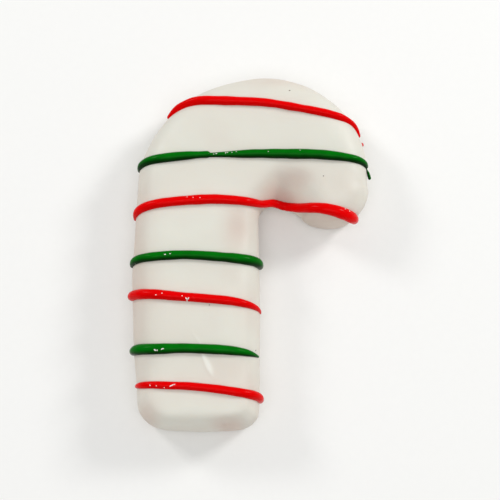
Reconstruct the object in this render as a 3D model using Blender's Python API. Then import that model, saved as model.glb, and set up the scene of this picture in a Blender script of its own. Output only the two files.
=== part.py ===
"""A candy-cane-shaped sweet: a thick cane dipped in a white coating, with lines of icing laid across it.

The cane lies flat, shown side up: toe at -Y, crown at +Y, hook turned to +X, underside on the ground.
It is worked out from the crook, the inside corner of the hook, and an empty then moves it so that the
origin is at the centre of its base. Blender's metres are MM times the millimetres given here.
"""

import math

import bmesh
import bpy
import numpy as np
from mathutils import Vector
from mathutils.bvhtree import BVHTree

MM = 0.001

# The cane seen from above, in mm from the crook. Ribs run from the outer edge to the inner edge.
STEM_RIBS = (  # distance below the crook, then how far left of it the outer and the inner edge are
    (51, 34.9, 1.6),
    (41, 35.8, 1.6),
    (31, 36.2, 1.5),
    (21, 36.6, 1.6),
    (13, 36.4, 1.7),
    (7, 36.2, 1.8),
)
HOOK_SWEEP = (180, 10)  # degrees: the hook's ribs fan out evenly between these directions
HOOK_RIBS = (  # how far from the crook the outer edge is, then the place of the rib's inner end
    (35.8, (-1.8, -4.2)),
    (36.5, (-1.3, -2.6)),
    (36.8, (-0.5, -1.4)),
    (36.8, (0.5, -0.7)),
    (36.4, (1.7, -0.4)),
    (36.5, (3.0, -0.4)),
    (35.8, (4.4, -0.5)),
    (34.2, (5.9, -0.9)),
    (31.7, (7.7, -1.8)),
    (29.0, (9.8, -3.2)),
)
TOE_DEPTH = 12.2  # from the lowest stem rib to the end of the toe
TOE_SQUARENESS = (3.3, 4.6)  # at the outer and inner corner: 2 is an ellipse, more is squarer
TIP_DEPTH = 7.5
TIP_SQUARENESS = (1.75, 1.65)

# The cane seen from the side
THICKNESS = 15
WIDEST_HEIGHT = 6  # where the wall stands furthest out
FOOT_INSET = 1.4  # how far the base stays inside the widest line
RIM_WIDTH = 11  # the top rolls off over this distance from the edge
RIM_SHARE = 0.9  # or over this share of the way to the spine, where that is less
RIM_SQUARENESS = (2.8, 2.2)  # of the roll-off, across the top and down the wall
DENT_CENTRE = (4.5, 2.5)  # the hollow above the crook
DENT_SPREAD = (6.0, 7.0)
DENT_DEPTH = 0.5  # of the height above the widest line

# The icing lines, left to right: points that each runs through on the coat, in mm from the crook and above
# the ground, and its width there. Both ends run down over the walls.
ICING_LINES = {
    "red_icing_1": (
        (-27.1, 23.7, 8, 1.3), (-24.6, 25.9, 10.5, 2.3), (-17.4, 27.15, 13, 2.7), (-8.9, 27.2, 15, 2.5),
        (0, 26.7, 15, 2.35), (9, 25.2, 15, 2.2), (17.8, 23.3, 14, 2.25), (22.2, 21.7, 11.5, 1.9),
        (24.9, 20.3, 8.7, 1.5), (26.7, 17.2, 7.5, 1.0),
    ),
    "green_icing_1": (
        (-35.2, 9.1, 6.5, 1.2), (-34, 9.8, 10.5, 2.1), (-28.4, 10.5, 14.5, 2.6), (-22, 11.2, 15, 2.4),
        (-17, 11.5, 15, 1.6), (-10.7, 11.6, 15, 1.6), (-6, 11.7, 15, 2.2), (-2, 11.8, 15, 2.5),
        (7, 11.8, 14.5, 2.75), (15.7, 11.5, 15, 2.7), (22.3, 10.8, 14.8, 2.3), (26.3, 10.1, 11.5, 1.9),
        (28.2, 9.2, 8.5, 1.2), (28.6, 6.6, 6.5, 0.9),
    ),
    "red_icing_2": (
        (-35.9, -4.9, 6.5, 1.2), (-34.8, -3.5, 11, 2.3), (-29.8, -2.4, 14.5, 2.5), (-22, -1.6, 15, 2.6),
        (-14.5, -1.2, 15, 2.7), (-8, -1.4, 14.5, 2.5), (-3.6, -1.1, 12, 2.3), (-0.2, -0.5, 9, 2.15),
        (3.4, -0.1, 7.5, 2.3), (7.6, -1.2, 7.5, 2.5), (11.8, -2.5, 11.5, 2.8), (16.1, -3.0, 13, 3.0),
        (20.6, -3.5, 12, 3.3), (23.6, -4.0, 8.5, 3.1), (24.9, -4.2, 6, 2.6),
    ),
    "green_icing_2": (
        (-36.3, -18.3, 7, 1.4), (-35.4, -17.6, 10.5, 2.1), (-30, -17.2, 14.5, 2.5), (-21.4, -16.8, 15, 2.45),
        (-12.8, -17.3, 15, 2.6), (-6.3, -17.8, 14, 2.8), (-2.6, -17.9, 10.5, 2.7), (-1.7, -18.3, 6, 1.9),
    ),
    "red_icing_3": (
        (-36.3, -26.9, 7, 2.2), (-35, -27.0, 11, 2.8), (-30.4, -27.5, 14.5, 2.7), (-21.8, -28.3, 15, 2.4),
        (-13.2, -29, 15, 2.4), (-6.8, -29.8, 14.3, 2.2), (-3.2, -30.5, 11, 1.5), (-1.6, -31.3, 6.5, 0.9),
    ),
    "green_icing_3": (
        (-35.9, -42.2, 7.5, 1.9), (-34.6, -42, 11, 2.8), (-29.8, -42.3, 14.5, 2.9), (-21.3, -42.2, 15, 2.6),
        (-12.9, -42.5, 15, 2.6), (-6.5, -43, 14.2, 2.2), (-3.4, -43.4, 12, 1.5), (-1.9, -43.6, 9, 0.9),
    ),
    "red_icing_4": (
        (-35, -51.4, 7.5, 1.2), (-32.4, -51.7, 12.5, 1.8), (-25.9, -52, 15, 2.05), (-17.5, -52.45, 15, 2.15),
        (-9.1, -53.5, 15, 2.3), (-4.9, -54.3, 13.3, 2.5), (-2.4, -54.6, 10, 2.4), (-1.7, -55.1, 6, 1.8),
    ),
}
ICING_HEIGHT = 0.66  # of its width
ICING_GAP = 0.3  # between an icing line and the coat below it
ICING_ROUNDING = 0.7  # how long a line's rounded ends are, as a share of its width
ICING_BLUNTNESS = 0.95  # how far the rounding goes towards a point, which would leave the end no face

# How finely it is faceted
STEPS_PER_KNOT = 3
KNOTS_PER_END = 9
WALL_RINGS = 4
RIM_RINGS = 7
TOP_RINGS = 2
ROUTE_STEPS = 20  # from each of a route's points to the next, when it is laid on the coat
WELD = 0.01  # mm: points of the cane nearer than this become one
ICING_SPACING = 1.4  # mm from one section of an icing line to the next
ICING_SIDES = 7  # over the top of a section
NORMAL_SPREAD = 2  # sections on either side that a section's upward direction is averaged over

COAT_COLOUR = (0.77, 0.74, 0.66, 1)
ICING_COLOURS = {"red": (0.75, 0.004, 0.004, 1), "green": (0.0, 0.13, 0.01, 1)}
COAT_ROUGHNESS = 0.42
ICING_ROUGHNESS = 0.3


def clear_scene():
    for thing in list(bpy.data.objects):
        bpy.data.objects.remove(thing)


def smooth_curve(knots, steps, closed=False):
    """Points on a Catmull-Rom curve through the knots, with a number of steps from each knot to the next."""
    knots = np.asarray(knots, float)
    if closed:
        padded = np.concatenate((knots[-1:], knots, knots[:2]))
    else:
        padded = np.concatenate((2 * knots[:1] - knots[1:2], knots, 2 * knots[-1:] - knots[-2:-1]))
    points = []
    for a, b, c, d in zip(padded, padded[1:], padded[2:], padded[3:]):
        for t in np.arange(steps) / steps:
            cubic = 3 * (b - c) + d - a
            square = 2 * a - 5 * b + 4 * c - d
            points.append(b + 0.5 * t * (c - a + t * (square + t * cubic)))
    if not closed:
        points.append(knots[-1])
    return np.array(points)


def end_knots(first, last, depth, squareness):
    """Outline knots round an end of the cane, from one rib end to the other, bulging to the right of that way."""
    centre = (first + last) / 2
    along = (first - last) / 2
    out = np.array((-along[1], along[0])) / np.linalg.norm(along) * depth
    knots = []
    for angle in np.linspace(0, math.pi, KNOTS_PER_END + 2)[1:-1]:
        power = 2 / squareness[0 if angle < math.pi / 2 else 1]
        side = math.copysign(abs(math.cos(angle)) ** power, math.cos(angle))
        knots.append(np.concatenate((centre + side * along - math.sin(angle) ** power * out, centre)))
    return knots


def cane_plan():
    """The outline, clockwise from the lowest rib's outer end, and for each of its points a point on the spine."""
    ribs = [((-outer, -below), (-inner, -below)) for below, outer, inner in STEM_RIBS]
    directions = np.radians(np.linspace(*HOOK_SWEEP, len(HOOK_RIBS)))
    for direction, (reach, inner) in zip(directions, HOOK_RIBS):
        ribs.append(((reach * math.cos(direction), reach * math.sin(direction)), inner))
    ribs = [(np.array(outer), np.array(inner)) for outer, inner in ribs]
    knots = [np.concatenate((outer, (outer + inner) / 2)) for outer, inner in ribs]
    knots += end_knots(ribs[-1][0], ribs[-1][1], TIP_DEPTH, TIP_SQUARENESS)
    knots += [np.concatenate((inner, (outer + inner) / 2)) for outer, inner in reversed(ribs)]
    knots += reversed(end_knots(ribs[0][0], ribs[0][1], -TOE_DEPTH, TOE_SQUARENESS))
    plan = smooth_curve(knots, STEPS_PER_KNOT, closed=True)
    return plan[:, :2], plan[:, 2:]


def dent(place):
    """How much of its height above the widest line the coat keeps at a place in plan."""
    offset = (place - np.array(DENT_CENTRE)) / np.array(DENT_SPREAD)
    return 1 - DENT_DEPTH * np.exp(-np.sum(offset**2, axis=-1))


def cane_rings():
    """Rings of points from the base's edge up the wall and over the rim, ending on the spine."""
    outline, spine = cane_plan()
    inward = spine - outline
    reach = np.linalg.norm(inward, axis=1, keepdims=True)
    rings = []
    for angle in np.linspace(-math.pi / 2, 0, WALL_RINGS + 1)[:-1]:
        inset = FOOT_INSET * (1 - math.cos(angle))
        height = WIDEST_HEIGHT * (1 + math.sin(angle))
        rings.append((outline + inward * inset / reach, height))
    crown = THICKNESS - WIDEST_HEIGHT
    for angle in np.linspace(0, math.pi / 2, RIM_RINGS + 1)[:-1]:
        height = crown * math.sin(angle) ** (2 / RIM_SQUARENESS[1])
        share = np.minimum(RIM_WIDTH / reach, RIM_SHARE) * (1 - math.cos(angle) ** (2 / RIM_SQUARENESS[0]))
        place = outline + inward * share
        rings.append((place, WIDEST_HEIGHT + height * dent(place)))
    rim = rings[-1][0]
    for share in np.linspace(0, 1, TOP_RINGS + 1)[1:]:
        place = rim + (spine - rim) * share
        rings.append((place, WIDEST_HEIGHT + crown * dent(place)))
    return [np.column_stack((place, np.broadcast_to(height, len(place)))) for place, height in rings]


def bridge(bm, lower, upper):
    """Faces between two closed rings of vertices, which run clockwise seen from above."""
    for i in range(len(lower)):
        bm.faces.new((lower[i - 1], upper[i - 1], upper[i], lower[i]))


def new_object(name, bm, colour, roughness):
    mesh = bpy.data.meshes.new(name)
    bm.to_mesh(mesh)
    bm.free()
    mesh.shade_smooth()
    material = bpy.data.materials.new(name)
    material.use_nodes = True
    shader = material.node_tree.nodes["Principled BSDF"]
    shader.inputs["Base Color"].default_value = colour
    shader.inputs["Roughness"].default_value = roughness
    mesh.materials.append(material)
    thing = bpy.data.objects.new(name, mesh)
    bpy.context.collection.objects.link(thing)
    return thing


def make_cane():
    bm = bmesh.new()
    rings = [[bm.verts.new(Vector(point) * MM) for point in ring] for ring in cane_rings()]
    bm.faces.new(rings[0])
    for lower, upper in zip(rings, rings[1:]):
        bridge(bm, lower, upper)
    bmesh.ops.remove_doubles(bm, verts=bm.verts, dist=WELD * MM)
    return new_object("cane", bm, COAT_COLOUR, COAT_ROUGHNESS)


def lay_on_coat(coat, route):
    """Evenly spaced points on the coat along a route, the coat's smoothed upward direction and the width there."""
    curve = smooth_curve(route, ROUTE_STEPS)
    laid = np.array([coat.find_nearest(Vector(point[:3]) * MM)[0] for point in curve]) / MM
    walked = np.concatenate(([0], np.cumsum(np.linalg.norm(np.diff(laid, axis=0), axis=1))))
    stops = np.linspace(0, walked[-1], round(walked[-1] / ICING_SPACING) + 1)
    widths = np.interp(stops, walked, curve[:, 3])
    points, normals = [], []
    for x, y, z in zip(*(np.interp(stops, walked, axis) for axis in laid.T)):
        place, normal = coat.find_nearest(Vector((x, y, z)) * MM)[:2]
        points.append(np.array(place) / MM)
        normals.append(np.array(normal))
    padded = np.pad(normals, ((NORMAL_SPREAD, NORMAL_SPREAD), (0, 0)), mode="edge")
    normals = sum(padded[i:i + len(points)] for i in range(2 * NORMAL_SPREAD + 1))
    return np.array(points), normals / np.linalg.norm(normals, axis=1, keepdims=True), widths, stops


def make_icing_line(name, coat, route):
    """A bead with a flat underside, which follows the coat a gap above it and closes in rounded ends."""
    points, normals, widths, stops = lay_on_coat(coat, route)
    from_end = np.minimum(stops, stops[-1] - stops) / (ICING_ROUNDING * widths)
    rounding = np.sqrt(1 - np.clip(1 - from_end, 0, ICING_BLUNTNESS) ** 2)
    tangents = np.gradient(points, axis=0)
    sideways = np.cross(tangents, normals)
    sideways /= np.linalg.norm(sideways, axis=1, keepdims=True)
    bm = bmesh.new()
    sections = []
    for point, normal, side, size in zip(points, normals, sideways, widths * rounding):
        section = []
        for angle in np.linspace(0, math.pi, ICING_SIDES + 1):
            across = side * math.cos(angle) * size / 2
            upward = normal * (ICING_GAP + math.sin(angle) * size * ICING_HEIGHT)
            section.append(bm.verts.new(Vector(point + across + upward) * MM))
        sections.append(section)
    bm.faces.new(reversed(sections[0]))
    bm.faces.new(sections[-1])
    for near, far in zip(sections, sections[1:]):
        bridge(bm, near, far)
    bmesh.ops.recalc_face_normals(bm, faces=bm.faces)
    return new_object(name, bm, ICING_COLOURS[name.split("_")[0]], ICING_ROUGHNESS)


def stand_on_origin(pieces):
    """Parent the pieces to an empty that puts the middle of their base at the origin."""
    corners = np.array([vertex.co for piece in pieces for vertex in piece.data.vertices])
    low, high = corners.min(axis=0), corners.max(axis=0)
    base = bpy.data.objects.new("base", None)
    bpy.context.collection.objects.link(base)
    base.location = (-(low[0] + high[0]) / 2, -(low[1] + high[1]) / 2, -low[2])
    for piece in pieces:
        piece.parent = base


clear_scene()
cane = make_cane()
coat = BVHTree.FromPolygons(
    [vertex.co for vertex in cane.data.vertices], [face.vertices for face in cane.data.polygons]
)
icing = [make_icing_line(name, coat, route) for name, route in ICING_LINES.items()]
stand_on_origin([cane, *icing])
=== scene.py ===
"""A candy-cane-shaped sweet, dipped in white coating and drizzled with icing, shown lying on a pale table.

The file is laid out as a Blender add-on and run as a script. Each piece is made by its own operator from the
sizes and colours in the property groups. Places are in mm from the crook, the inside corner of the hook,
until a mesh is made of them; sizes that a user sets are in metres.
"""

import math

import bmesh
import bpy
import numpy as np
from bpy.props import FloatProperty, FloatVectorProperty, IntProperty, PointerProperty
from bpy.types import Operator, Panel, PropertyGroup
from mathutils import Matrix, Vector, noise
from mathutils.bvhtree import BVHTree


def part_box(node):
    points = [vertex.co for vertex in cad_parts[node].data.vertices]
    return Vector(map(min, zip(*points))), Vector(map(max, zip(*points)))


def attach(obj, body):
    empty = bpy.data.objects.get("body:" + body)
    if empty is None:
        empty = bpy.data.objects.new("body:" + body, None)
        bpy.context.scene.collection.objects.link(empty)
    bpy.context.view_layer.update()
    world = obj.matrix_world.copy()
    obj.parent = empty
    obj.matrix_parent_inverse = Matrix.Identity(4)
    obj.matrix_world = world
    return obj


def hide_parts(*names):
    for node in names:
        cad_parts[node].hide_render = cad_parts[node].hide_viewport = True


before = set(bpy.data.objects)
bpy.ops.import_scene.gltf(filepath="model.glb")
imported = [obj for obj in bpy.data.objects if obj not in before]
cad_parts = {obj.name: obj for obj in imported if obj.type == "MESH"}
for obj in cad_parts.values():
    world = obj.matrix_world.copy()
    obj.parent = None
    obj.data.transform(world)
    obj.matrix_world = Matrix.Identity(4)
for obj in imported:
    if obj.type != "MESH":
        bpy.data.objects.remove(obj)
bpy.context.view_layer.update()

bl_info = {
    "name": "Iced Candy Cane",
    "version": (1, 0, 0),
    "blender": (4, 5, 0),
    "location": "3D View > Sidebar > Candy Cane",
    "description": "Builds a dipped and iced candy cane sweet on a studio table",
    "category": "Add Mesh",
}

MM = 0.001
BODY = "root"
CANE_LOW, CANE_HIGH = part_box("cane")

# The cane seen from above. Ribs run from the outer edge to the inner edge.
STEM_RIBS = (  # distance below the crook, then how far left of it the outer and the inner edge are
    (51, 34.9, 1.6),
    (41, 35.8, 1.6),
    (31, 36.2, 1.5),
    (21, 36.6, 1.6),
    (13, 36.4, 1.7),
    (7, 36.2, 1.8),
)
HOOK_SWEEP = (180, 10)  # degrees: the hook's ribs fan out evenly between these directions
HOOK_RIBS = (  # how far from the crook the outer edge is, then the place of the rib's inner end
    (35.8, (-1.8, -4.2)),
    (36.5, (-1.3, -2.6)),
    (36.8, (-0.5, -1.4)),
    (36.8, (0.5, -0.7)),
    (36.4, (1.7, -0.4)),
    (36.5, (3.0, -0.4)),
    (35.8, (4.4, -0.5)),
    (34.2, (5.9, -0.9)),
    (31.7, (7.7, -1.8)),
    (29.0, (9.8, -3.2)),
)
TOE_DEPTH = 12.2  # from the lowest stem rib to the end of the toe
TOE_SQUARENESS = (3.3, 4.6)  # at the outer and inner corner: 2 is an ellipse, more is squarer
TIP_DEPTH = 7.5
TIP_SQUARENESS = (1.75, 1.65)
KNOTS_PER_END = 9
BASE_RINGS, WALL_RINGS, RIM_RINGS, TOP_RINGS = 5, 10, 26, 22  # how many rings each part of the coat has
WELD = 0.002  # mm: points nearer than this become one
RIM_SHARE = 0.92  # the roll-off never takes more than this share of the way to the spine
RIM_BLEND = 5  # how closely the roll-off keeps to its own width before it gives way to that share
SPINE_END = (19.2, 0.9)  # where the spine ends in the tip, and the ribs fan out
SOFT_REACH = 8.0  # mm round there that the top is evened out
SOFT_BELOW_TOP = 4.5  # mm down from the top that this takes in
SOFT_ROUNDS = 60
SPINE_SPREAD = 2.4  # mm along the edge over which the direction of the roll-off is averaged
TOE_RIM = (-46, -60, 0.6)  # past the first y the rim narrows, to this share of its width at the second

# Hollows of the coat: the middle, how far each spreads left, right, and up and down, and how deep it is
HOLLOWS = (
    ((4.0, -3.3), (3.2, 6.0, 6.2), 12.0),
    ((8.5, 5.2), (6.5, 4.0, 2.8), 1.1),
    ((-7.5, -9.0), (3.5, 3.0, 5.5), 0.6),
    ((-10.8, -61.8), (1.3, 1.6, 0.9), 1.6),
    ((-7.6, -61.8), (3.0, 4.5, 1.8), 1.2),
)
# Painted shade in hollows, on walls and at corners, darker and warmer, where the coat is also taken as thin
# over a warmer
# middle: the middle, the spread across and up and down, and how much shows
THIN_AND_SHADE_PATCHES = (
    ((3.6, 0.8), (5.0, 4.0), 1.0),
    ((8.0, 4.8), (6.0, 3.2), 0.65),
    ((-7.6, -9.0), (3.8, 6.5), 0.75),
    ((-9.8, -62.4), (4.5, 2.2), 1.0),
    ((-9.0, -22.0), (5.0, 4.0), 0.25),
    ((-10.0, -47.0), (9.0, 5.0), 0.35),
    ((-4.5, -50.0), (3.5, 10.0), 0.3),
    ((-4.5, -30.0), (3.5, 10.0), 0.25),
    ((-36.5, -20.0), (4.5, 45.0), 0.75),
    ((-31.8, -60.5), (4.0, 5.5), 0.85),
    ((17.0, -5.2), (9.0, 2.4), 1.0),
    ((20.0, 3.0), (9.0, 8.0), 0.35),
    ((3.0, 35.0), (16.0, 3.5), 0.55),
)
# Folds where the coating ran together as it set: places along each ridge, and how high and wide it is there
FOLDS = (
    (
        (-20.6, -36.6, 0.0, 0.4), (-19.3, -38.4, 0.08, 0.45), (-17.5, -41.0, 0.12, 0.6),
        (-16.6, -44.2, 0.18, 0.8), (-15.3, -47.2, 0.22, 1.1), (-13.9, -49.8, 0.06, 0.9),
    ),
    ((-4.9, -45.0, 0.0, 0.3), (-4.7, -46.5, 0.07, 0.4), (-4.5, -48.5, 0.07, 0.4), (-4.4, -50.2, 0.0, 0.3)),
)
FOLD_REACH = 12  # mm from a fold's middle that is searched for the places it raises
FOLD_LEE = 0.5  # a fold's left side is this much as wide as its right side
FOLD_STEPS = 20  # from each place along a ridge to the next

# The icing lines, left to right: points on the coat that each runs through, and its width there
ICING_LINES = {
    "red_icing_1": (
        (
            (-26.8, 23.7, 8, 1.1), (-24.6, 25.9, 10.5, 2.3), (-21.4, 26.75, 12, 2.5), (-17.4, 27.15, 13, 2.7),
            (-8.9, 27.2, 15, 2.5), (0, 26.7, 15, 2.35), (9, 25.2, 15, 2.2), (17.8, 23.3, 14, 2.25),
            (22.2, 21.7, 11.5, 1.9), (24.9, 20.3, 8.7, 1.5), (26.3, 18.6, 8, 0.8),
        ),
        ((26.7, 17.4, 7.5, 0.5), (27.1, 16.8, 8, 0.8), (27.3, 16.2, 7.5, 0.5)),
    ),
    "green_icing_1": (
        (
            (-35.2, 9.1, 6.5, 0.8), (-34, 9.8, 10.5, 2.1), (-28.4, 10.5, 14.5, 2.6), (-22, 11.2, 15, 2.4),
            (-18.2, 11.5, 15, 1.95), (-15.0, 11.6, 15, 2.05),
        ),
        (
            (-17.0, 11.4, 15, 1.1), (-15.0, 11.4, 15, 1.25), (-10.7, 11.6, 15, 1.6), (-6, 11.7, 15, 2.2),
            (-2, 11.8, 15, 2.5), (7, 11.8, 14.5, 2.75), (15.7, 11.5, 15, 2.7), (22.3, 10.8, 14.8, 2.3),
            (26.3, 10.1, 11.5, 1.9), (27.7, 9.6, 8.8, 0.9),
        ),
    ),
    "red_icing_2": (
        (
            (-35.9, -4.9, 6.5, 0.9), (-34.8, -3.5, 11, 2.3), (-29.8, -2.4, 14.5, 2.5), (-22, -1.6, 15, 2.6),
            (-14.5, -1.2, 15, 2.7), (-8, -1.4, 14.5, 2.5), (-3.6, -1.25, 12, 2.3), (-0.2, -0.95, 9, 2.15),
            (3.4, -0.6, 7.5, 2.3), (7.6, -1.7, 7.5, 2.5), (11.8, -2.7, 11.5, 2.8), (16.1, -2.85, 13, 3.0),
            (20.6, -3.4, 12, 3.3), (23.8, -4.2, 8.5, 3.1), (25.6, -5.4, 5, 2.6),
        ),
    ),
    "green_icing_2": (
        (
            (-36.3, -18.3, 7, 1.2), (-35.4, -17.6, 10.5, 2.1), (-30, -17.2, 14.5, 2.5),
            (-21.4, -16.8, 15, 2.45), (-12.8, -17.3, 15, 2.6), (-6.3, -17.8, 14, 2.8),
            (-2.6, -17.9, 10.5, 2.7), (-1.7, -18.3, 6, 1.9),
        ),
    ),
    "red_icing_3": (
        (
            (-36.3, -26.9, 7, 2.2), (-35, -27.0, 11, 2.8), (-30.4, -27.5, 14.5, 2.7), (-21.8, -28.3, 15, 2.4),
            (-13.2, -29, 15, 2.4), (-6.8, -29.8, 14.3, 2.2), (-3.2, -30.5, 11, 1.5), (-1.6, -31.3, 6.5, 0.6),
        ),
    ),
    "green_icing_3": (
        (
            (-35.9, -42.2, 7.5, 1.9), (-34.6, -42, 11, 2.8), (-29.8, -42.3, 14.5, 2.9),
            (-21.3, -42.2, 15, 2.6), (-12.9, -42.5, 15, 2.6), (-6.5, -43, 14.2, 2.2),
            (-3.4, -43.4, 12, 1.3), (-1.9, -43.6, 9, 0.5),
        ),
    ),
    "red_icing_4": (
        (
            (-35, -51.4, 7.5, 0.9), (-32.4, -51.7, 12.5, 1.8), (-25.9, -52.0, 15, 2.05),
            (-17.5, -52.45, 15, 2.15), (-9.1, -53.5, 15, 2.3), (-4.9, -54.3, 13.3, 2.5),
            (-2.4, -54.6, 10, 2.4), (-1.7, -55.1, 6, 1.8),
        ),
    ),
}
ICING_TAILS = {  # ends that stand free: where they run, and how wide they are
    "green_icing_1": (
        (27.9, 10.3, 8.8, 0.8), (28.4, 9.2, 8.6, 0.4), (28.8, 8.1, 8.4, 0.8), (29.3, 6.4, 8.0, 0.9),
    ),
}
TAIL_NORMAL = (0.7, 0.0, 0.7)  # the way a tail's outer side faces

# Pale grains on the icing, put where light glints on it as painted glints, and crumbs on the coat: place,
# length, width, and direction in degrees
GLINT_GRAINS = (
    (-21.3, -0.9, 0.3, 0.2, 20), (-19.7, -1.1, 0.3, 0.2, 0), (-17.8, -1.2, 0.25, 0.2, 0),
    (-27.0, -17.0, 0.6, 0.25, 5), (-25.7, -16.8, 0.5, 0.2, 0),
    (-29.3, -28.0, 0.4, 0.25, 0), (-27.7, -27.6, 0.35, 0.25, 30), (-22.3, -28.3, 0.35, 0.25, 0),
    (-21.2, -29.0, 0.8, 0.35, 120), (-20.7, -29.0, 0.8, 0.35, 60), (-21.0, -29.5, 0.6, 0.35, 90),
    (-29.3, -42.8, 0.7, 0.35, 150), (-28.7, -42.9, 0.4, 0.3, 60), (-27.4, -42.6, 0.6, 0.3, 40),
    (-27.1, -42.5, 0.4, 0.3, 0),
    (-30.5, -52.0, 0.45, 0.25, 120), (-28.8, -52.2, 0.3, 0.2, 0), (-26.7, -52.7, 0.35, 0.2, 90),
    (-25.1, -52.3, 0.5, 0.3, 60), (-24.6, -52.1, 0.8, 0.3, 30), (-24.0, -51.9, 0.4, 0.25, 20),
    (-14.2, 11.5, 0.3, 0.2, 0), (-13.5, 11.6, 0.5, 0.2, 0), (-10.9, 11.8, 0.5, 0.25, 60),
    (-10.4, 11.9, 0.4, 0.2, 30),
    (-9.2, 11.9, 0.3, 0.2, 0), (-8.0, 12.1, 0.3, 0.2, 0), (0.8, 12.0, 0.25, 0.2, 0), (9.5, 12.4, 0.3, 0.2, 0),
    (23.0, -4.0, 0.5, 0.25, 20), (21.8, -3.6, 0.4, 0.2, 20),
)
CRUMBS = (
    (15.9, 5.5, 0.35, 0.25, 60), (6.8, 30.6, 0.5, 0.3, 0), (-15.1, -30.5, 0.3, 0.25, 0),
    (-2.7, -42.1, 0.4, 0.3, 60),
)
GRAIN_HEIGHT = 0.7  # of its width
GRAIN_KNOBS = 0.35  # how far a grain's knobs stand out, as a share of its size
GRAIN_GRAIN = 1.4  # how many knobs go to a grain's half length
ABOVE_ALL = 40  # mm: the height that places in plan are looked for from

SWELL_SIZE = (13.0, 5.0)  # mm across the coat's broad and lesser swells
LESSER_SWELL = 0.35  # how deep the lesser swell is, as a share of the broad one
ROUTE_STEPS, TAIL_STEPS = 40, 8  # from each of a line's or a tail's points to the next
ROUTE_SPREAD = 1.8  # a line of icing bridges unevenness of the coat shorter than this
NORMAL_SPREAD = 1.8  # a line of icing stands square to the coat as averaged over this far either way
WIDTH_PULSE = 0.07  # how much a line thickens and thins as it is piped
WANDER_LENGTH, PULSE_LENGTH = 7, 3.5  # mm along a line from one sway, or one thickening, to the next
PULSE_LANE = 9  # where in the noise the thickening is read, clear of the swaying
SEED_STRIDE = 31  # how far apart in the noise the lines are
END_LEAST = 0.02  # the share of its width that a line's very end keeps
END_ROUNDING = 0.6  # how long a line's rounded ends are, as a share of its width
PAINTED_SHADE_TURN = 0.35  # radians from level, downward, to the side of a line where its painted shade is deepest

TABLE_SIZE = 4.0  # metres
AIM = (-4.244, -13.608, 7.5)  # mm from the crook: what the camera and the lamps point at
SOFTBOXES = {  # where each stands and its width and height, in metres, and its share of the lamp power
    "left_softbox": ((-0.56, 0.42, 0.44), (0.2, 0.2), 0.65),
    "right_softbox": ((0.60, 0.36, 0.42), (0.2, 0.2), 1.0),
    "overhead_softbox": ((0.0, -0.29, 0.92), (0.9, 0.7), 1.25),
}


def linear(hex_colour):
    """An sRGB hex colour as the linear red, green and blue that shaders work in."""
    values = (int(hex_colour[i:i + 2], 16) / 255 for i in (1, 3, 5))
    return tuple(v / 12.92 if v <= 0.04045 else ((v + 0.055) / 1.055) ** 2.4 for v in values)


class CandyCaneShape(PropertyGroup):
    """Sizes of the dipped cane."""

    thickness: FloatProperty(
        name="Thickness",
        description="Height of the cane as it lies, from the table to its flat top",
        default=CANE_HIGH.z - CANE_LOW.z,
        unit="LENGTH",
    )
    widest_height: FloatProperty(
        name="Widest height",
        description="Height at which the side walls stand furthest out",
        default=6 * MM,
        unit="LENGTH",
    )
    foot_inset: FloatProperty(
        name="Foot inset",
        description="How far the base stays inside the widest line",
        default=1.4 * MM,
        unit="LENGTH",
    )
    rim_width: FloatProperty(
        name="Rim width",
        description="Distance from the edge over which the top rolls off",
        default=11 * MM,
        unit="LENGTH",
    )
    rim_top: FloatProperty(
        name="Rim squareness, top",
        description="How flat the top stays before the rim: 2 is round, more is squarer",
        default=2.8,
    )
    rim_wall: FloatProperty(
        name="Rim squareness, wall",
        description="How upright the wall stays below the rim: 2 is round, more is squarer",
        default=2.2,
    )
    facet: FloatProperty(
        name="Facet",
        description="Size of the coat's facets along its edge",
        default=0.42 * MM,
        unit="LENGTH",
    )
    swell: FloatProperty(
        name="Swell",
        description="Depth of the broad unevenness of the set coating",
        default=0.16 * MM,
        unit="LENGTH",
    )


class CandyCaneIcing(PropertyGroup):
    """Sizes that the icing lines share."""

    height: FloatProperty(
        name="Height",
        description="How high a line stands above the coat, as a share of its width",
        default=0.62,
        subtype="FACTOR",
    )
    middle: FloatProperty(
        name="Middle height",
        description="How far above the coat a line is widest, as a share of its width",
        default=0.08,
        subtype="FACTOR",
    )
    step: FloatProperty(
        name="Step",
        description="Distance between the sections of a line",
        default=0.3 * MM,
        unit="LENGTH",
    )
    sides: IntProperty(
        name="Sides",
        description="Points round a section of a line",
        default=28,
        min=8,
    )
    wander: FloatProperty(
        name="Wander",
        description="How far a line strays to either side as the hand shakes",
        default=0.07 * MM,
        unit="LENGTH",
    )


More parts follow.
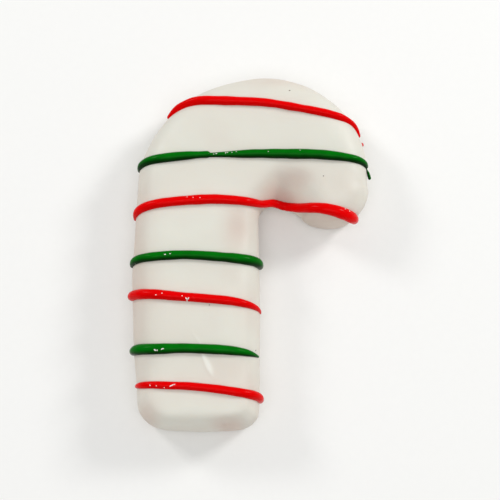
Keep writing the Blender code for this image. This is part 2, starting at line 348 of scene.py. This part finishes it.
class CandyCaneColours(PropertyGroup):
    """Colours of the coating, the icing and the table."""

    coat: FloatVectorProperty(
        name="Coating",
        description="White confectioner's coating where it is thick",
        subtype="COLOR",
        default=linear("#DEDDD2"),
        min=0,
        max=1,
    )
    # Painted shade: the darker, warmer colour for hollows, walls and corners, where the coat is also taken as
    # thin
    coat_thin_and_shade: FloatVectorProperty(
        name="Thin coating",
        description="The coating where it has drained thin over hollows and walls",
        subtype="COLOR",
        default=linear("#D2C2B6"),
        min=0,
        max=1,
    )
    # Painted highlight: the whiter colour along the folds' ridges
    coat_fold_highlight: FloatVectorProperty(
        name="Thick coating",
        description="The coating where it ran together in a fold",
        subtype="COLOR",
        default=linear("#ECEBE2"),
        min=0,
        max=1,
    )
    red: FloatVectorProperty(
        name="Red icing",
        description="Red icing",
        subtype="COLOR",
        default=linear("#E20002"),
        min=0,
        max=1,
    )
    # Painted shade: the colour of the red icing's lower side
    red_painted_shade: FloatVectorProperty(
        name="Red icing, thick",
        description="Red icing on the side where it is thickest",
        subtype="COLOR",
        default=linear("#D60000"),
        min=0,
        max=1,
    )
    green: FloatVectorProperty(
        name="Green icing",
        description="Green icing",
        subtype="COLOR",
        default=linear("#006E0A"),
        min=0,
        max=1,
    )
    # Painted shade: the colour of the green icing's lower side
    green_painted_shade: FloatVectorProperty(
        name="Green icing, thick",
        description="Green icing on the side where it is thickest",
        subtype="COLOR",
        default=linear("#002A02"),
        min=0,
        max=1,
    )
    # Painted glints: the white of the pale grains on the icing
    painted_glint: FloatVectorProperty(
        name="Sugar",
        description="Grains of sugar on the icing",
        subtype="COLOR",
        default=linear("#FBF6F2"),
        min=0,
        max=1,
    )
    crumb: FloatVectorProperty(
        name="Crumb",
        description="Crumbs on the coating",
        subtype="COLOR",
        default=linear("#7A6C62"),
        min=0,
        max=1,
    )
    table: FloatVectorProperty(
        name="Table",
        description="Pale paper on the table",
        subtype="COLOR",
        default=linear("#F4F4F2"),
        min=0,
        max=1,
    )


class CandyCaneStudio(PropertyGroup):
    """The camera and the lamps."""

    camera_height: FloatProperty(
        name="Camera elevation",
        description="How far above the horizon the camera looks down from",
        default=math.radians(76.5),
        subtype="ANGLE",
    )
    camera_distance: FloatProperty(
        name="Camera distance",
        description="From the camera to the middle of the sweet",
        default=0.33,
        unit="LENGTH",
    )
    focal_length: FloatProperty(
        name="Focal length",
        description="Focal length in mm on a 36 mm sensor",
        default=86,
    )
    lamp_power: FloatProperty(
        name="Lamp power",
        description="Power of a softbox, before its share",
        default=2.6,
        unit="POWER",
    )
    fill: FloatProperty(
        name="Fill light",
        description="Strength of the light from the white room",
        default=0.45,
    )


# Curves and plan -----------------------------------------------------------------------------------------


def smooth_curve(knots, steps, closed=False):
    """Points on a Catmull-Rom curve through the knots, with steps[i] of them from knot i to the next."""
    knots = np.asarray(knots, float)
    if closed:
        padded = np.concatenate((knots[-1:], knots, knots[:2]))
    else:
        padded = np.concatenate((2 * knots[:1] - knots[1:2], knots, 2 * knots[-1:] - knots[-2:-1]))
    stretches = []
    for a, b, c, d, count in zip(padded, padded[1:], padded[2:], padded[3:], steps):
        t = (np.arange(count) / count)[:, None]
        cubic = 3 * (b - c) + d - a
        square = 2 * a - 5 * b + 4 * c - d
        stretches.append(b + 0.5 * t * (c - a + t * (square + t * cubic)))
    if not closed:
        stretches.append(knots[-1:])
    return np.concatenate(stretches)


def end_knots(first, last, depth, squareness):
    """Outline knots round an end of the cane, from one rib end to the other, bulging to the right."""
    centre = (first + last) / 2
    along = (first - last) / 2
    out = np.array((-along[1], along[0])) / np.linalg.norm(along) * depth
    knots = []
    for angle in np.linspace(0, math.pi, KNOTS_PER_END + 2)[1:-1]:
        power = 2 / squareness[0 if angle < math.pi / 2 else 1]
        side = math.copysign(abs(math.cos(angle)) ** power, math.cos(angle))
        knots.append(np.concatenate((centre + side * along - math.sin(angle) ** power * out, centre)))
    return knots


def cane_plan(facet):
    """The outline, clockwise from the lowest rib's outer end, and for each point of it one on the spine."""
    ribs = [((-outer, -below), (-inner, -below)) for below, outer, inner in STEM_RIBS]
    directions = np.radians(np.linspace(*HOOK_SWEEP, len(HOOK_RIBS)))
    for direction, (reach, inner) in zip(directions, HOOK_RIBS):
        ribs.append(((reach * math.cos(direction), reach * math.sin(direction)), inner))
    ribs = [(np.array(outer), np.array(inner)) for outer, inner in ribs]
    knots = [np.concatenate((outer, (outer + inner) / 2)) for outer, inner in ribs]
    knots += end_knots(ribs[-1][0], ribs[-1][1], TIP_DEPTH, TIP_SQUARENESS)
    knots += [np.concatenate((inner, (outer + inner) / 2)) for outer, inner in reversed(ribs)]
    knots += reversed(end_knots(ribs[0][0], ribs[0][1], -TOE_DEPTH, TOE_SQUARENESS))
    knots = np.array(knots)
    lengths = np.linalg.norm(np.roll(knots, -1, axis=0)[:, :2] - knots[:, :2], axis=1)
    steps = np.ceil(lengths / facet).astype(int)
    inner_start = 2 * len(ribs) + KNOTS_PER_END - 2
    for i in range(len(ribs) - 1):  # both edges share the spine's points, so they have the same steps
        steps[i] = steps[inner_start - i] = max(steps[i], steps[inner_start - i])
    plan = smooth_curve(knots, steps, closed=True)
    return plan[:, :2], plan[:, 2:]


def hollow_depth(points):
    """How deep the coat's hollows are at places in plan, in mm."""
    depth = np.zeros(len(points))
    for centre, (left, right, along), deep in HOLLOWS:
        across = points[:, 0] - centre[0]
        across = across / np.where(across < 0, left, right)
        depth += deep * np.exp(-across**2 - ((points[:, 1] - centre[1]) / along) ** 2)
    return depth


def thinness_and_shade(points):
    """How much painted shade falls at places in plan: darker and warmer, where the coat is also taken as thin
    over the warmer middle.
    """
    most = np.zeros(len(points))
    for centre, spread, strength in THIN_AND_SHADE_PATCHES:
        offset = (points[:, :2] - np.array(centre)) / np.array(spread)
        most = np.maximum(most, strength * np.exp(-np.sum(offset**2, axis=1)))
    return most


def fold_height(points, fold):
    """How high a fold stands at places in plan, in mm: steep on its left, easing off to its right."""
    ridge = smooth_curve(fold, [FOLD_STEPS] * (len(fold) - 1))
    along = np.gradient(ridge[:, :2], axis=0)
    raised = np.zeros(len(points))
    near = np.flatnonzero(np.all(np.abs(points[:, :2] - ridge[:, :2].mean(axis=0)) < FOLD_REACH, axis=1))
    offsets = points[near, None, :2] - ridge[None, :, :2]
    closest = np.linalg.norm(offsets, axis=2).argmin(axis=1)
    offset = offsets[np.arange(len(near)), closest]
    rightward = along[closest, 0] * offset[:, 1] - along[closest, 1] * offset[:, 0] > 0
    width = ridge[closest, 3] * np.where(rightward, 1, FOLD_LEE)
    raised[near] = ridge[closest, 2] * np.exp(-((np.linalg.norm(offset, axis=1) / width) ** 2))
    return raised


def cane_rings(shape):
    """Rings of points: from the base's spine out, up the wall, over the rim and in to the spine again."""
    outline, spine = cane_plan(shape.facet / MM)
    spread = round(SPINE_SPREAD / (shape.facet / MM))
    shifts = range(-2 * spread, 2 * spread + 1)
    weights = np.exp(-np.linspace(-2, 2, len(shifts)) ** 2)
    soft_spine = sum(
        weight * np.roll(spine, shift, axis=0) for weight, shift in zip(weights, shifts)
    ) / weights.sum()
    reach = np.linalg.norm(spine - outline, axis=1, keepdims=True)
    inset, widest = shape.foot_inset / MM, shape.widest_height / MM
    crown = shape.thickness / MM - widest
    shares = [(share, 0.0) for share in np.linspace(1, inset / reach, BASE_RINGS + 1)[:-1]]
    for angle in np.linspace(-math.pi / 2, 0, WALL_RINGS + 1)[:-1]:
        shares.append((inset * (1 - math.cos(angle)) / reach, widest * (1 + math.sin(angle))))
    toe = np.clip((outline[:, 1:] - TOE_RIM[0]) / (TOE_RIM[1] - TOE_RIM[0]), 0, 1)
    wanted = shape.rim_width / MM / reach * (1 - (1 - TOE_RIM[2]) * toe * toe * (3 - 2 * toe))
    roll_off = wanted / (1 + (wanted / RIM_SHARE) ** RIM_BLEND) ** (1 / RIM_BLEND)
    for angle in np.linspace(0, math.pi / 2, RIM_RINGS + 1)[:-1]:
        height = crown * math.sin(angle) ** (2 / shape.rim_wall)
        shares.append((roll_off * (1 - math.cos(angle) ** (2 / shape.rim_top)), widest + height))
    top_start = shares[-1][0]
    for share in np.linspace(0, 1, TOP_RINGS + 1)[1:]:
        shares.append((top_start + (1 - top_start) * share, widest + crown))
    rings = []
    for share, height in shares:
        inner = np.clip(2 * share - 1, 0, 1)  # the two edges meet on the spine itself
        aim = soft_spine + (spine - soft_spine) * (inner * inner * (3 - 2 * inner))
        place = outline + (aim - outline) * share
        rings.append(np.column_stack((place, np.full(len(place), height))))
    return rings


# Meshes --------------------------------------------------------------------------------------------------


def tube_faces(rings, count):
    """Quads that join a number of closed rings, each of count points running clockwise seen from above."""
    ring, point = np.meshgrid(np.arange(rings - 1), np.arange(count), indexing="ij")
    here = ring * count + point
    before = ring * count + (point - 1) % count
    return np.stack((before, before + count, here + count, here), axis=-1).reshape(-1, 4)


def crook_place():
    """Where the crook is in the frame: the CAD cane's lowest corner tells."""
    low = cane_plan(1.0)[0].min(axis=0) * MM
    return Vector((CANE_LOW.x - low[0], CANE_LOW.y - low[1], CANE_LOW.z))


def new_mesh(name, points, faces, **values):
    """A smooth closed mesh in the frame, from points in mm from the crook. Points that meet become one."""
    mesh = bpy.data.meshes.new(name)
    mesh.from_pydata(points * MM + np.array(crook_place()), [], faces)
    for value, amounts in values.items():
        mesh.attributes.new(value, "FLOAT", "POINT").data.foreach_set("value", amounts)
    bm = bmesh.new()
    bm.from_mesh(mesh)
    bmesh.ops.remove_doubles(bm, verts=bm.verts, dist=WELD * MM)
    bmesh.ops.recalc_face_normals(bm, faces=bm.faces)
    bm.to_mesh(mesh)
    bm.free()
    mesh.shade_smooth()
    return mesh


def new_piece(name, mesh, material, node=None):
    """An object riding on the body, with the given material. It may stand in for a CAD node, which it hides.
    """
    mesh.materials.append(material)
    piece = bpy.data.objects.new(name, mesh)
    bpy.context.collection.objects.link(piece)
    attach(piece, BODY)
    if node:
        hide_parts(node)
    return piece


def soften(mesh, place):
    """Evens out the upper surface round a place in plan, where ribs fan out and would leave a crease."""
    bm = bmesh.new()
    bm.from_mesh(mesh)
    centre = Vector((*place, 0)) * MM + crook_place()
    top = CANE_HIGH.z - SOFT_BELOW_TOP * MM
    near = [v for v in bm.verts if v.co.z > top and (v.co - centre).xy.length < SOFT_REACH * MM]
    for _ in range(SOFT_ROUNDS):
        bmesh.ops.smooth_vert(bm, verts=near, factor=0.5, use_axis_x=True, use_axis_y=True, use_axis_z=True)
    bm.to_mesh(mesh)
    bm.free()


def mesh_arrays(mesh):
    """The mesh's points in mm from the crook, and their normals."""
    points, normals = (np.zeros(len(mesh.vertices) * 3) for _ in range(2))
    mesh.vertices.foreach_get("co", points)
    mesh.vertex_normals.foreach_get("vector", normals)
    return (points.reshape(-1, 3) - np.array(crook_place())) / MM, normals.reshape(-1, 3)


def coat_mesh(shape):
    """The dipped cane, with the hollows, the swell and the fold of its coating as real relief."""
    rings = cane_rings(shape)
    mesh = new_mesh("coated_cane", np.concatenate(rings), tube_faces(len(rings), len(rings[0])))
    soften(mesh, SPINE_END)
    points, normals = mesh_arrays(mesh)
    widest, thickness = shape.widest_height / MM, shape.thickness / MM
    above = np.clip((points[:, 2] - widest) / (thickness - widest), 0, 1)
    hollow = hollow_depth(points)
    points[:, 2] -= hollow * above
    off_base = np.clip(points[:, 2], 0, 1)  # the base stays flat
    swell = np.array([
        noise.noise(Vector(point) / SWELL_SIZE[0]) + LESSER_SWELL * noise.noise(Vector(point) / SWELL_SIZE[1])
        for point in points
    ])
    folds = sum(fold_height(points, fold) for fold in FOLDS)
    relief = shape.swell / MM * swell * off_base + folds * above
    points += normals * relief[:, None]
    mesh.vertices.foreach_set("co", (points * MM + np.array(crook_place())).ravel())
    # Painted shade in hollows, on walls and at corners, stored with the points; there the coat is also taken
    # as thin
    mesh.attributes.new("thin_and_shade", "FLOAT", "POINT").data.foreach_set("value", thinness_and_shade(points))
    # The folds' height, also used to paint the coat whiter along them: a painted highlight
    mesh.attributes.new("fold", "FLOAT", "POINT").data.foreach_set("value", folds)
    mesh.update()
    return mesh


def surface_of(piece):
    """A tree to find the nearest point of the piece's surface, in mm from the crook."""
    points = mesh_arrays(piece.data)[0]
    return BVHTree.FromPolygons([Vector(p) for p in points], [f.vertices for f in piece.data.polygons])


def averaged(rows, spread):
    """Each row averaged with its neighbours, up to spread either way. The ends carry on straight."""
    before = 2 * rows[:1] - rows[spread:0:-1]
    after = 2 * rows[-1:] - rows[-2:-spread - 2:-1]
    padded = np.concatenate((before, rows, after))
    return sum(padded[i:i + len(rows)] for i in range(2 * spread + 1)) / (2 * spread + 1)


def lay_on_coat(coat, knots, step):
    """Evenly spaced points on the coat along a route, the coat's averaged normals, and the widths there."""
    curve = smooth_curve(knots, [ROUTE_STEPS] * (len(knots) - 1))
    laid = np.array([coat.find_nearest(Vector(point[:3]))[0] for point in curve])
    walked = np.concatenate(([0], np.cumsum(np.linalg.norm(np.diff(laid, axis=0), axis=1))))
    stops = np.linspace(0, walked[-1], round(walked[-1] / step) + 1)
    laid = np.column_stack([np.interp(stops, walked, axis) for axis in laid.T])
    laid = averaged(laid, round(ROUTE_SPREAD / step))
    widths = np.interp(stops, walked, curve[:, 3])
    normals = np.array([coat.find_nearest(Vector(point))[1] for point in laid])
    normals = averaged(normals, round(NORMAL_SPREAD / step))
    return laid, normals / np.linalg.norm(normals, axis=1, keepdims=True), widths


def bead(path, normals, widths, icing, seed):
    """Points, faces and painted shade of a bead of icing: round-ended, a little flattened, with a wandering
    line.
    """
    walked = np.concatenate(([0], np.cumsum(np.linalg.norm(np.diff(path, axis=0), axis=1))))
    start = Vector((0, 0, SEED_STRIDE * seed))
    wobble = np.array([noise.noise(start + Vector((at / WANDER_LENGTH, 0, 0))) for at in walked])
    pulse = np.array([noise.noise(start + Vector((at / PULSE_LENGTH, PULSE_LANE, 0))) for at in walked])
    widths = widths * (1 + WIDTH_PULSE * pulse)
    from_end = np.minimum(walked, walked[-1] - walked) / (END_ROUNDING * widths)
    widths = widths * np.sqrt(np.clip(1 - np.clip(1 - from_end, 0, 1) ** 2, END_LEAST**2, 1))
    sideways = np.cross(np.gradient(path, axis=0), normals)
    sideways /= np.linalg.norm(sideways, axis=1, keepdims=True)
    centre = path + sideways * (wobble * icing.wander / MM)[:, None]
    centre = centre + normals * (widths * icing.middle)[:, None]
    angles = np.linspace(0, 2 * math.pi, icing.sides + 1)[:-1]
    rings = []
    for angle in angles:
        across = sideways * (widths * math.cos(angle) / 2)[:, None]
        upward = normals * (widths * math.sin(angle) * (icing.height - icing.middle))[:, None]
        rings.append(centre + across + upward)
    points = np.stack(rings, axis=1)
    points[0] = points[0].mean(axis=0)
    points[-1] = points[-1].mean(axis=0)
    # Painted shade: how near each point is to the lower side of the line that is painted deeper
    lee = np.tile(np.cos(angles + PAINTED_SHADE_TURN), len(points))
    return points.reshape(-1, 3), tube_faces(len(points), icing.sides), lee


def join(parts):
    """Several parts' points, faces and values as one."""
    starts = np.cumsum([0] + [len(points) for points, _, _ in parts])
    faces = np.concatenate([faces + start for (_, faces, _), start in zip(parts, starts)])
    return np.concatenate([p[0] for p in parts]), faces, np.concatenate([p[2] for p in parts])


def icing_mesh(name, coat, icing):
    """An icing line: beads that lie on the coat, a little sunk in, and a tail that stands free of it."""
    seed = list(ICING_LINES).index(name)
    beads = [
        bead(*lay_on_coat(coat, knots, icing.step / MM), icing, seed + i / 3)
        for i, knots in enumerate(ICING_LINES[name])
    ]
    if name in ICING_TAILS:
        curve = smooth_curve(ICING_TAILS[name], [TAIL_STEPS] * (len(ICING_TAILS[name]) - 1))
        normals = np.tile(TAIL_NORMAL, (len(curve), 1))
        beads.append(bead(curve[:, :3], normals, curve[:, 3], icing, seed + 0.9))
    points, faces, lee = join(beads)
    return new_mesh(name, points, faces, lee=lee)


def grain(centre, normal, along, size, seed):
    """A small knobbly grain: its length, width and height are in size."""
    normal = normal.normalized()
    along = (along - normal * along.dot(normal)).normalized()
    axes = np.array((along, normal.cross(along), normal)) * np.array(size)[:, None] / 2
    bm = bmesh.new()
    bmesh.ops.create_icosphere(bm, subdivisions=3, radius=1)
    start = Vector((seed, 0, 0))
    points = np.array([
        v.co * (1 + GRAIN_KNOBS * noise.noise(v.co * GRAIN_GRAIN + start)) for v in bm.verts
    ])
    faces = np.array([[v.index for v in face.verts] for face in bm.faces])
    bm.free()
    return np.array(centre) + points @ axes, faces, np.zeros(len(points))


def grains_mesh(name, surface, places):
    """Grains that lie half sunk in a surface. Each has a place in plan, a length, a width and a direction."""
    grains = []
    for seed, (x, y, length, width, degrees) in enumerate(places):
        hit, normal, _, _ = surface.ray_cast(Vector((x, y, ABOVE_ALL)), Vector((0, 0, -1)))
        along = Vector((math.cos(math.radians(degrees)), math.sin(math.radians(degrees)), 0))
        grains.append(grain(hit, normal, along, (length, width, GRAIN_HEIGHT * width), seed))
    points, faces, _ = join(grains)
    return new_mesh(name, points, faces)


# Materials -----------------------------------------------------------------------------------------------


def add_node(tree, kind, settings=None, inputs=None):
    """Adds a node, with its settings, and with its inputs set to values or linked to sockets."""
    node = tree.nodes.new(kind)
    for name, value in (settings or {}).items():
        setattr(node, name, value)
    for name, value in (inputs or {}).items():
        if isinstance(value, bpy.types.NodeSocket):
            tree.links.new(value, node.inputs[name])
        else:
            node.inputs[name].default_value = value
    return node


def new_material(name):
    """An empty material, its node tree, its output and the coordinates of the object that wears it."""
    material = bpy.data.materials.new(name)
    material.use_nodes = True
    tree = material.node_tree
    tree.nodes.clear()
    output = add_node(tree, "ShaderNodeOutputMaterial")
    place = add_node(tree, "ShaderNodeTexCoord").outputs["Object"]
    return material, tree, output, place


def clouded(tree, place, size, detail):
    """Soft noise between 0 and 1, with features this many mm across."""
    inputs = {"Vector": place, "Scale": 1 / (size * MM), "Detail": detail}
    return add_node(tree, "ShaderNodeTexNoise", None, inputs).outputs["Fac"]


def confectioners_coating(colours):
    """White confectioner's coating, melted, dipped and set: a fat-based satin that light sinks a little into.

    It is painted darker and warmer on its steep walls and at listed hollows and corners: painted shade, where
    the coat is also taken as thin, with the warmer middle showing through. It is painted whiter along its
    folds: a painted highlight.
    """
    material, tree, output, place = new_material("confectioners_coating")
    cloud = clouded(tree, place, 16, 2.0)
    streaks = clouded(tree, place, 5, 3.0)
    normal = add_node(tree, "ShaderNodeNewGeometry").outputs["Normal"]
    upright = add_node(tree, "ShaderNodeSeparateXYZ", None, {0: normal}).outputs["Z"]
    # Painted shade: steep walls and the listed hollows and corners are mixed toward the darker, warmer
    # colour; there the coat is also taken as thin
    steep = add_node(
        tree, "ShaderNodeMapRange", {"interpolation_type": "SMOOTHSTEP"},
        {"Value": upright, "From Min": 0.85, "From Max": 0.0, "To Min": 0.0, "To Max": 0.3},
    ).outputs["Result"]
    hollow = add_node(tree, "ShaderNodeAttribute", {"attribute_name": "thin_and_shade"}).outputs["Fac"]
    drained_and_shaded = add_node(tree, "ShaderNodeMath", {"operation": "MAXIMUM"}, {0: steep, 1: hollow}).outputs[0]
    patches = add_node(
        tree, "ShaderNodeMapRange", None,
        {"Value": cloud, "From Min": 0.35, "From Max": 0.7, "To Min": -0.02, "To Max": 0.22},
    ).outputs["Result"]
    thin_and_shade = add_node(
        tree, "ShaderNodeMath", {"operation": "ADD", "use_clamp": True}, {0: drained_and_shaded, 1: patches}
    ).outputs[0]
    colour = add_node(
        tree, "ShaderNodeMix", {"data_type": "RGBA"},
        {"Factor": thin_and_shade, 6: (*colours.coat, 1), 7: (*colours.coat_thin_and_shade, 1)},
    ).outputs[2]
    # Painted highlight: the coat is mixed toward a whiter colour along the folds' ridges
    fold = add_node(tree, "ShaderNodeAttribute", {"attribute_name": "fold"}).outputs["Fac"]
    painted_light = add_node(
        tree, "ShaderNodeMapRange", {"interpolation_type": "SMOOTHSTEP"},
        {"Value": fold, "From Min": 0.02, "From Max": 0.2, "To Min": 0.0, "To Max": 0.8},
    ).outputs["Result"]
    colour = add_node(
        tree, "ShaderNodeMix", {"data_type": "RGBA"},
        {"Factor": painted_light, 6: colour, 7: (*colours.coat_fold_highlight, 1)},
    ).outputs[2]
    roughness = add_node(
        tree, "ShaderNodeMapRange", None,
        {"Value": streaks, "From Min": 0.3, "From Max": 0.7, "To Min": 0.42, "To Max": 0.56},
    ).outputs["Result"]
    skin = clouded(tree, place, 1.6, 2.0)
    bump = add_node(
        tree, "ShaderNodeBump", None,
        {"Strength": 0.25, "Distance": 0.06 * MM, "Height": skin},
    ).outputs["Normal"]
    shader = add_node(
        tree, "ShaderNodeBsdfPrincipled", None,
        {
            "Base Color": colour,
            "Roughness": roughness,
            "IOR": 1.46,
            "Normal": bump,
            "Subsurface Weight": 0.15,
            "Subsurface Radius": (1.0, 0.8, 0.6),
            "Subsurface Scale": 2 * MM,
        },
    )
    tree.links.new(shader.outputs["BSDF"], output.inputs["Surface"])
    return material


def coloured_icing(name, colour, painted_light):
    """Coloured candy-melt icing, piped warm and set: a smooth gloss that dulls and deepens in soft patches.

    One lower side of each line is painted a deeper colour: painted shade.
    """
    material, tree, output, place = new_material(name)
    patches = clouded(tree, place, 4, 2.0)
    shade = add_node(
        tree, "ShaderNodeMapRange", None,
        {"Value": patches, "From Min": 0.3, "From Max": 0.7, "To Min": 0.0, "To Max": 0.25},
    ).outputs["Result"]
    # Painted shade: one lower side of each line is mixed toward the deeper colour
    lee = add_node(tree, "ShaderNodeAttribute", {"attribute_name": "lee"}).outputs["Fac"]
    low = add_node(
        tree, "ShaderNodeMapRange", {"interpolation_type": "SMOOTHSTEP"},
        {"Value": lee, "From Min": -0.5, "From Max": 0.9, "To Min": 0.0, "To Max": 1.0},
    ).outputs["Result"]
    deep = add_node(
        tree, "ShaderNodeMath", {"operation": "ADD", "use_clamp": True}, {0: low, 1: shade}
    ).outputs[0]
    base = add_node(
        tree, "ShaderNodeMix", {"data_type": "RGBA"},
        {"Factor": deep, 6: (*colour, 1), 7: (*painted_light, 1)},
    ).outputs[2]
    roughness = add_node(
        tree, "ShaderNodeMapRange", None,
        {"Value": patches, "From Min": 0.3, "From Max": 0.7, "To Min": 0.12, "To Max": 0.22},
    ).outputs["Result"]
    skin = clouded(tree, place, 1.5, 1.0)
    bump = add_node(
        tree, "ShaderNodeBump", None,
        {"Strength": 0.3, "Distance": 0.05 * MM, "Height": skin},
    ).outputs["Normal"]
    shader = add_node(
        tree, "ShaderNodeBsdfPrincipled", None,
        {
            "Base Color": base,
            "Roughness": roughness,
            "IOR": 1.46,
            "Specular IOR Level": 0.045,
            "Normal": bump,
            "Subsurface Weight": 0.05,
            "Subsurface Radius": (1.0, 0.4, 0.4),
            "Subsurface Scale": 1 * MM,
        },
    )
    tree.links.new(shader.outputs["BSDF"], output.inputs["Surface"])
    return material


def fine_matter(name, colour, roughness):
    """Grains in one clouded colour: pale ones put on the icing as painted glints, or baked crumbs, which are
    dull.
    """
    material, tree, output, place = new_material(name)
    cloud = clouded(tree, place, 0.5, 1.0)
    dim = tuple(0.8 * channel for channel in colour)
    base = add_node(
        tree, "ShaderNodeMix", {"data_type": "RGBA"},
        {"Factor": cloud, 6: (*colour, 1), 7: (*dim, 1)},
    ).outputs[2]
    shader = add_node(
        tree, "ShaderNodeBsdfPrincipled", None, {"Base Color": base, "Roughness": roughness, "IOR": 1.54}
    )
    tree.links.new(shader.outputs["BSDF"], output.inputs["Surface"])
    return material


def table_paper(colours):
    """White sketch paper, uncoated: a matte sheet with a faint cloud of fibres."""
    material, tree, output, place = new_material("table_paper")
    fibres = clouded(tree, place, 2, 4.0)
    faint = tuple(0.98 * channel for channel in colours.table)
    colour = add_node(
        tree, "ShaderNodeMix", {"data_type": "RGBA"},
        {"Factor": fibres, 6: (*colours.table, 1), 7: (*faint, 1)},
    ).outputs[2]
    shader = add_node(
        tree, "ShaderNodeBsdfPrincipled", None,
        {"Base Color": colour, "Roughness": 0.9, "Specular IOR Level": 0.1},
    )
    tree.links.new(shader.outputs["BSDF"], output.inputs["Surface"])
    return material


# Operators -----------------------------------------------------------------------------------------------


class CANDYCANE_OT_coat(Operator):
    """Build the cane in its dipped white coating"""

    bl_idname = "candycane.coat"
    bl_label = "Dipped Cane"

    def execute(self, context):
        scene = context.scene
        material = confectioners_coating(scene.candycane_colours)
        new_piece("coated_cane", coat_mesh(scene.candycane_shape), material, "cane")
        return {"FINISHED"}


class CANDYCANE_OT_icing(Operator):
    """Lay the red and green icing lines on the coating"""

    bl_idname = "candycane.icing"
    bl_label = "Icing Lines"

    def execute(self, context):
        scene = context.scene
        colours = scene.candycane_colours
        materials = {
            "red": coloured_icing("red_icing", colours.red, colours.red_painted_shade),
            "green": coloured_icing("green_icing", colours.green, colours.green_painted_shade),
        }
        coat = surface_of(bpy.data.objects["coated_cane"])
        for name in ICING_LINES:
            hue = name.split("_")[0]
            mesh = icing_mesh(name, coat, scene.candycane_icing)
            new_piece("piped_" + name, mesh, materials[hue], name)
        return {"FINISHED"}


class CANDYCANE_OT_grains(Operator):
    """Scatter pale grains on the icing as painted glints, and the crumbs on the coating"""

    bl_idname = "candycane.grains"
    bl_label = "Sugar and Crumbs"

    def execute(self, context):
        colours = context.scene.candycane_colours
        # Pale grains on the icing where light glints: painted glints
        painted_glint_material = fine_matter("painted_glint_grain", colours.painted_glint, roughness=0.25)
        for name in ICING_LINES:
            icing = surface_of(bpy.data.objects["piped_" + name])
            on_this = [
                place for place in GLINT_GRAINS
                if icing.ray_cast(Vector((*place[:2], ABOVE_ALL)), Vector((0, 0, -1)))[0]
            ]
            if on_this:
                piece = grains_mesh("painted_glint_on_" + name, icing, on_this)
                new_piece("painted_glint_on_" + name, piece, painted_glint_material)
        coat = surface_of(bpy.data.objects["coated_cane"])
        crumbs = grains_mesh("crumbs", coat, CRUMBS)
        new_piece("crumbs", crumbs, fine_matter("baked_crumb", colours.crumb, roughness=0.8))
        return {"FINISHED"}


class CANDYCANE_OT_stage(Operator):
    """Set up the table, the room, the softboxes and the camera"""

    bl_idname = "candycane.stage"
    bl_label = "Stage"

    def execute(self, context):
        scene = context.scene
        studio = scene.candycane_studio
        scene.view_settings.view_transform = "Standard"
        middle = crook_place() + Vector(AIM) * MM

        mesh = bpy.data.meshes.new("table")
        half = TABLE_SIZE / 2
        corners = [(-half, -half, 0), (half, -half, 0), (half, half, 0), (-half, half, 0)]
        mesh.from_pydata(corners, [], [(0, 1, 2, 3)])
        mesh.materials.append(table_paper(scene.candycane_colours))
        table = bpy.data.objects.new("table", mesh)
        scene.collection.objects.link(table)

        world = bpy.data.worlds.new("white_room")
        world.use_nodes = True
        background = world.node_tree.nodes["Background"]
        background.inputs["Color"].default_value = (1, 1, 1, 1)
        background.inputs["Strength"].default_value = studio.fill
        scene.world = world

        for name, (place, size, share) in SOFTBOXES.items():
            lamp = bpy.data.lights.new(name, "AREA")
            lamp.shape = "RECTANGLE"
            lamp.size, lamp.size_y = size
            lamp.energy = studio.lamp_power * share
            softbox = bpy.data.objects.new(name, lamp)
            softbox.location = place
            softbox.rotation_euler = (middle - softbox.location).to_track_quat("-Z", "Y").to_euler()
            scene.collection.objects.link(softbox)

        lens = bpy.data.cameras.new("camera")
        lens.lens = studio.focal_length
        lens.sensor_width = 36
        camera = bpy.data.objects.new("camera", lens)
        back = Vector((0, -math.cos(studio.camera_height), math.sin(studio.camera_height)))
        camera.location = middle + back * studio.camera_distance
        camera.rotation_euler = (-back).to_track_quat("-Z", "Y").to_euler()
        scene.collection.objects.link(camera)
        scene.camera = camera
        return {"FINISHED"}


class CANDYCANE_PT_panel(Panel):
    """Lists what the sweet is built from"""

    bl_idname = "CANDYCANE_PT_panel"
    bl_label = "Iced Candy Cane"
    bl_space_type = "VIEW_3D"
    bl_region_type = "UI"
    bl_category = "Candy Cane"

    def draw(self, context):
        layout = self.layout
        for attribute, group in GROUPS.items():
            box = layout.box()
            box.label(text=group.__doc__)
            for name in group.__annotations__:
                box.prop(getattr(context.scene, attribute), name)
        for operator in OPERATORS:
            layout.operator(operator.bl_idname)


GROUPS = {
    "candycane_shape": CandyCaneShape,
    "candycane_icing": CandyCaneIcing,
    "candycane_colours": CandyCaneColours,
    "candycane_studio": CandyCaneStudio,
}
OPERATORS = (CANDYCANE_OT_coat, CANDYCANE_OT_icing, CANDYCANE_OT_grains, CANDYCANE_OT_stage)
CLASSES = (*GROUPS.values(), *OPERATORS, CANDYCANE_PT_panel)


def register():
    for cls in CLASSES:
        bpy.utils.register_class(cls)
    for attribute, group in GROUPS.items():
        setattr(bpy.types.Scene, attribute, PointerProperty(type=group))


def unregister():
    for attribute in GROUPS:
        delattr(bpy.types.Scene, attribute)
    for cls in reversed(CLASSES):
        bpy.utils.unregister_class(cls)


def main():
    register()
    bpy.ops.candycane.coat()
    bpy.ops.candycane.icing()
    bpy.ops.candycane.grains()
    bpy.ops.candycane.stage()


if __name__ == "__main__":
    main()
